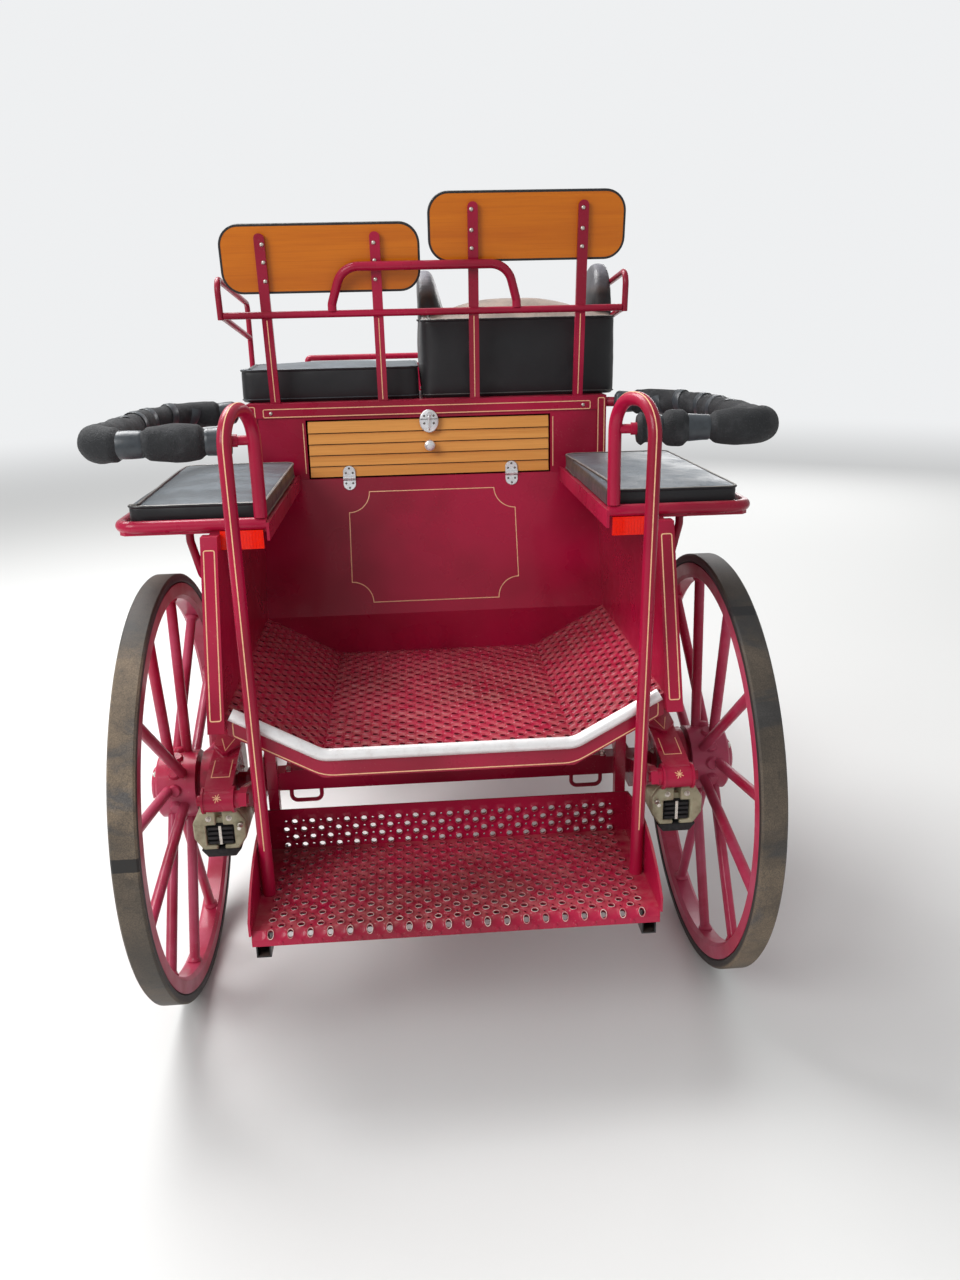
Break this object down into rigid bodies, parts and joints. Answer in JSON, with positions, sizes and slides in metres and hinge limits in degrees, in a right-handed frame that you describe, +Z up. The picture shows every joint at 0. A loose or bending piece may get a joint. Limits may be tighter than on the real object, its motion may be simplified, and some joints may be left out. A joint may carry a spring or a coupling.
{
  "type": "marathon carriage",
  "caption": "Four-wheeled marathon driving carriage with a driver's bench, a grooms' well with two side seats, a rear step, padded hip rails and a pair of shafts.",
  "frame": {"origin": "on the ground under the middle of the whole carriage, shafts included", "axes": "+Y forward, towards the shaft tips; +X to the carriage's right; +Z up"},
  "size_m": [1.5038, 4.3893, 1.849],
  "materials": {
    "rubber_tyre": "worn solid rubber",
    "wheel_paint": "semi-gloss crimson",
    "body_paint": "semi-gloss crimson with thin stripes",
    "bare_steel": "bare steel",
    "cast_grey": "grey casting",
    "foam_sleeve": "black foam sleeve with grey tape",
    "buffer_rubber": "matt black rubber",
    "vinyl": "black vinyl",
    "varnished_wood": "orange varnish",
    "perforated_plate": "dusty perforated plate",
    "nosing_metal": "pale aluminium",
    "step_plate": "worn crimson perforated plate",
    "bright_steel": "bright",
    "reflector_red": "clear red reflector",
    "black_steel": "black"
  },
  "bodies": {
    "carriage": {"arm_rails": "body_paint", "back_frame": "body_paint", "back_handle": "body_paint", "backrest_left": "varnished_wood", "backrest_right": "varnished_wood", "bench_cushion_left": "vinyl", "bench_cushion_right": "vinyl", "body_bearers": "body_paint", "brake_calipers": "cast_grey", "brake_pedal": "black_steel", "dash_rail": "body_paint", "door_hinges": "bright_steel", "driver_box": "body_paint", "foot_well": "body_paint", "grab_hoop_left": "body_paint", "grab_hoop_right": "body_paint", "hip_pad_left": "foam_sleeve", "hip_pad_right": "foam_sleeve", "hip_rail_left": "body_paint", "hip_rail_right": "body_paint", "perch": "body_paint", "rear_axle": "body_paint", "rear_spring_arms": "body_paint", "rear_springs": "body_paint", "rear_step": "step_plate", "reflectors": "reflector_red", "seat_braces": "body_paint", "seat_buffers": "buffer_rubber", "side_cushion_left": "vinyl", "side_cushion_right": "vinyl", "side_seat_left": "body_paint", "side_seat_right": "body_paint", "spring_outriggers": "body_paint", "step_stubs": "black_steel", "well_edge_band": "body_paint", "well_floor": "perforated_plate", "well_nosing": "nosing_metal", "well_wall_left": "body_paint", "well_wall_right": "body_paint"},
    "rear_wheel_left": {"rear_wheel_left": "wheel_paint", "rear_tyre_left": "rubber_tyre", "brake_disc_left": "bare_steel"},
    "rear_wheel_right": {"rear_wheel_right": "wheel_paint", "rear_tyre_right": "rubber_tyre", "brake_disc_right": "bare_steel"},
    "front_wheel_left": {"front_wheel_left": "wheel_paint", "front_tyre_left": "rubber_tyre"},
    "front_wheel_right": {"front_wheel_right": "wheel_paint", "front_tyre_right": "rubber_tyre"},
    "fore_carriage": {"fore_carriage": "body_paint", "front_axle": "body_paint", "front_springs": "body_paint", "front_spring_arms": "body_paint", "splinter_bar": "body_paint"},
    "swingletree": {"swingletree": "body_paint"},
    "shafts_left": {"shaft_left": "body_paint"},
    "shafts_right": {"shaft_right": "body_paint"},
    "locker_door": {"locker_door": "varnished_wood", "door_straps": "bright_steel"}
  },
  "joints": [
    {"name": "rear_wheel_left_spin", "type": "hinge", "parent": "carriage", "child": "rear_wheel_left", "pos_m": [-0.633, -1.7, 0.5], "axis": [1, 0, 0], "continuous": true},
    {"name": "rear_wheel_right_spin", "type": "hinge", "parent": "carriage", "child": "rear_wheel_right", "pos_m": [0.633, -1.7, 0.5], "axis": [1, 0, 0], "continuous": true},
    {"name": "steering", "type": "hinge", "parent": "carriage", "child": "fore_carriage", "pos_m": [0, -0.3, 0.72], "axis": [0, 0, 1], "range_deg": [-38, 38]},
    {"name": "front_wheel_left_spin", "type": "hinge", "parent": "fore_carriage", "child": "front_wheel_left", "pos_m": [-0.633, -0.3, 0.4], "axis": [1, 0, 0], "continuous": true},
    {"name": "front_wheel_right_spin", "type": "hinge", "parent": "fore_carriage", "child": "front_wheel_right", "pos_m": [0.633, -0.3, 0.4], "axis": [1, 0, 0], "continuous": true},
    {"name": "shaft_left_lift", "type": "hinge", "parent": "fore_carriage", "child": "shafts_left", "pos_m": [-0.33, 0.205, 0.452], "axis": [1, 0, 0], "range_deg": [0, 35]},
    {"name": "shaft_right_lift", "type": "hinge", "parent": "fore_carriage", "child": "shafts_right", "pos_m": [0.33, 0.205, 0.452], "axis": [1, 0, 0], "range_deg": [0, 35]},
    {"name": "swingletree_swing", "type": "hinge", "parent": "fore_carriage", "child": "swingletree", "pos_m": [0, 0.2, 0.572], "axis": [0, 0, 1], "range_deg": [-12, 12]},
    {"name": "locker_door_drop", "type": "hinge", "parent": "carriage", "child": "locker_door", "pos_m": [0, -1.134, 1.131], "axis": [1, 0, 0], "range_deg": [0, 110]}
  ]
}
